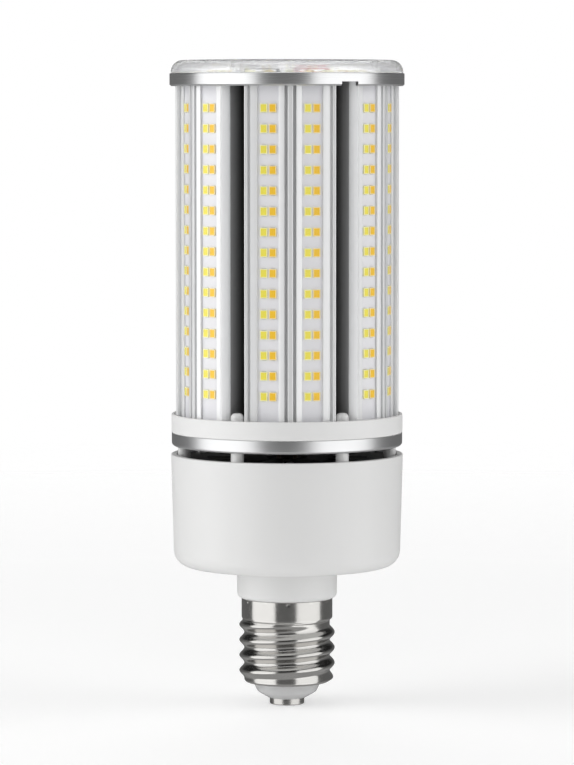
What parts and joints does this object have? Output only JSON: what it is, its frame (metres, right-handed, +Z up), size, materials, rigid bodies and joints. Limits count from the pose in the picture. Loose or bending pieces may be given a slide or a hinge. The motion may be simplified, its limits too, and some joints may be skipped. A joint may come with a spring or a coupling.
{
  "type": "corn led bulb",
  "caption": "Large LED corn lamp: mogul screw base, vented white driver housing, six finned LED modules in a ring and a clear end cover.",
  "frame": {"origin": "middle of the centre contact's flat face, the lamp's lowest point", "axes": "+Z up the lamp's axis from the screw base to the clear cover, -Y towards the viewer of the picture, +X to the viewer's right"},
  "size_m": [0.0962, 0.0962, 0.266],
  "materials": {
    "contact_metal": "tinned and polished round end contact",
    "insulator": "pale grey moulded insulator, satin",
    "shell_metal": "nickel-plated rolled sheet, bright with fine rolling marks",
    "white_moulding": "white moulded plastic, satin",
    "dark_lid": "near-black moulded plastic, matt",
    "trim_aluminium": "turned and brushed aluminium, satin",
    "module_aluminium": "extruded aluminium, clear anodised, lengthwise drawing lines",
    "core_dark": "black anodised extrusion",
    "board_white": "white solder mask on a thin metal-core board",
    "led_cool": "pale yellow phosphor in a white package",
    "led_warm": "amber phosphor in a white package",
    "clear_cover": "clear moulded plastic, glossy",
    "screw_steel": "zinc-plated steel",
    "driver_board": "green solder mask",
    "ferrite": "sintered ferrite, matt dark grey",
    "winding": "yellow tape over copper wire",
    "copper_wire": "enamelled copper wire",
    "capacitor_sleeve": "dark shrink sleeve",
    "film_block": "yellow cast box",
    "rectifier_black": "black moulded package",
    "lead_red": "red insulated wire",
    "lead_black": "black insulated wire",
    "lead_white": "white insulated wire"
  },
  "bodies": {
    "root": {"base_insulator": "insulator", "black_lead": "lead_black", "bulk_capacitors": "capacitor_sleeve", "centre_contact": "contact_metal", "choke_core": "ferrite", "choke_winding": "copper_wire", "contact_lead": "lead_white", "cool_leds_1": "led_cool", "cool_leds_2": "led_cool", "cool_leds_3": "led_cool", "cool_leds_4": "led_cool", "cool_leds_5": "led_cool", "cool_leds_6": "led_cool", "cover_screws": "screw_steel", "driver_board": "driver_board", "driver_housing": "white_moulding", "film_capacitors": "film_block", "heat_sink_core": "core_dark", "housing_lid": "dark_lid", "led_board_01": "board_white", "led_board_02": "board_white", "led_board_03": "board_white", "led_board_04": "board_white", "led_board_05": "board_white", "led_board_06": "board_white", "led_board_07": "board_white", "led_board_08": "board_white", "led_board_09": "board_white", "led_board_10": "board_white", "led_board_11": "board_white", "led_board_12": "board_white", "led_module_1": "module_aluminium", "led_module_2": "module_aluminium", "led_module_3": "module_aluminium", "led_module_4": "module_aluminium", "led_module_5": "module_aluminium", "led_module_6": "module_aluminium", "lid_screws": "screw_steel", "lower_ring": "white_moulding", "lower_trim_ring": "trim_aluminium", "module_screws": "screw_steel", "post_screws": "screw_steel", "rectifier": "rectifier_black", "red_lead": "lead_red", "screw_shell": "shell_metal", "shell_lead": "lead_white", "top_board": "board_white", "top_cool_leds": "led_cool", "top_cover": "clear_cover", "top_ring": "trim_aluminium", "top_warm_leds": "led_warm", "transformer_core": "ferrite", "transformer_winding": "winding", "warm_leds_1": "led_warm", "warm_leds_2": "led_warm", "warm_leds_3": "led_warm", "warm_leds_4": "led_warm", "warm_leds_5": "led_warm", "warm_leds_6": "led_warm"}
  },
  "joints": []
}
